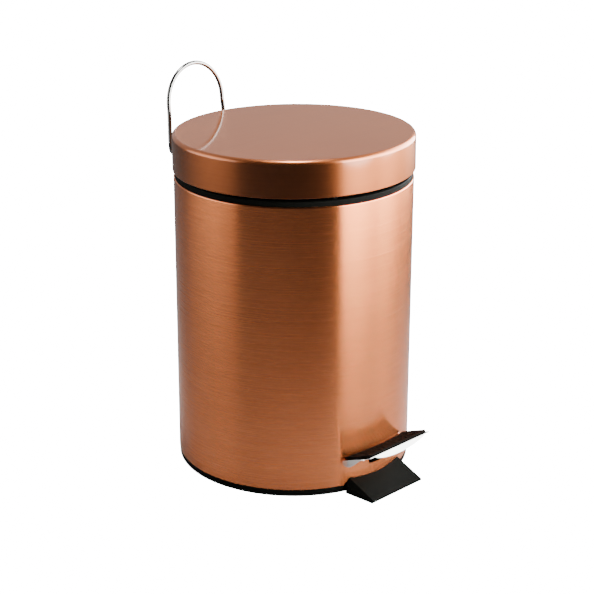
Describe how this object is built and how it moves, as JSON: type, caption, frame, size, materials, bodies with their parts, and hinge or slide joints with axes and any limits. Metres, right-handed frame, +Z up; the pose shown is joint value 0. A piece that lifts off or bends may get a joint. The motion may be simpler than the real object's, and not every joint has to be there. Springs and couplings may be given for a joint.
{
  "type": "pedal trash can",
  "caption": "Small round step bin: copper-finish steel body and hinged lid, black base with a front tongue, pedal, push rod, lift-out bucket and wire carry handle.",
  "frame": {"origin": "centre of the bin on the floor it stands on", "axes": "+Z up, -Y towards the front, where the pedal is, +X to the right of somebody who faces the back from the pedal"},
  "size_m": [0.1716, 0.2119, 0.2768],
  "materials": {
    "copper": "brushed steel with a satin copper-coloured coating",
    "black_plastic": "satin moulded",
    "bucket_plastic": "fine grained",
    "rubber": "matte ribbed",
    "chrome": "bright polished",
    "zinc_steel": "zinc plated"
  },
  "bodies": {
    "bin": {"body_shell": "copper", "base_moulding": "black_plastic", "rim_collar": "black_plastic", "inner_bucket": "bucket_plastic", "hinge_housing": "black_plastic", "hinge_screw_left": "zinc_steel", "hinge_screw_right": "zinc_steel", "lid_hinge_pin": "zinc_steel", "pedal_pivot_pin": "zinc_steel", "pivot_washer_left": "zinc_steel", "pivot_washer_right": "zinc_steel", "rod_guide_lower": "black_plastic", "rod_guide_upper": "black_plastic"},
    "lid": {"lid_skin": "copper", "lid_liner": "black_plastic", "lid_bumper_left": "rubber", "lid_bumper_right": "rubber", "lid_hinge_bracket": "zinc_steel", "crank_pin": "zinc_steel"},
    "pedal": {"pedal_lever": "chrome", "pedal_pad": "rubber"},
    "rod": {"push_rod": "zinc_steel", "rod_cap": "black_plastic", "rod_clip": "zinc_steel"},
    "handle": {"carry_handle": "chrome"},
    "bail": {"bucket_bail": "zinc_steel"}
  },
  "joints": [
    {"name": "lid_open", "type": "hinge", "parent": "bin", "child": "lid", "pos_m": [0, 0.0895, 0.234], "axis": [-1, 0, 0], "range_deg": [0, 75]},
    {"name": "pedal_press", "type": "hinge", "parent": "bin", "child": "pedal", "pos_m": [0, -0.02, 0.014], "axis": [1, 0, 0], "range_deg": [0, 7.31]},
    {"name": "rod_lift", "type": "slide", "parent": "bin", "child": "rod", "axis": [0, 0, 1], "range_m": [0, 0.0128]},
    {"name": "handle_swing", "type": "hinge", "parent": "bin", "child": "handle", "pos_m": [0, 0.0989, 0.212], "axis": [-1, 0, 0], "range_deg": [0, 175]},
    {"name": "bail_swing", "type": "hinge", "parent": "bin", "child": "bail", "pos_m": [0, 0, 0.206], "axis": [-1, 0, 0], "range_deg": [0, 14]}
  ],
  "couplings": [
    {"joint": "pedal_press", "follows": "lid_open", "ratio": 0.0974},
    {"joint": "rod_lift", "follows": "lid_open", "m_per_rad": 0.009764}
  ]
}
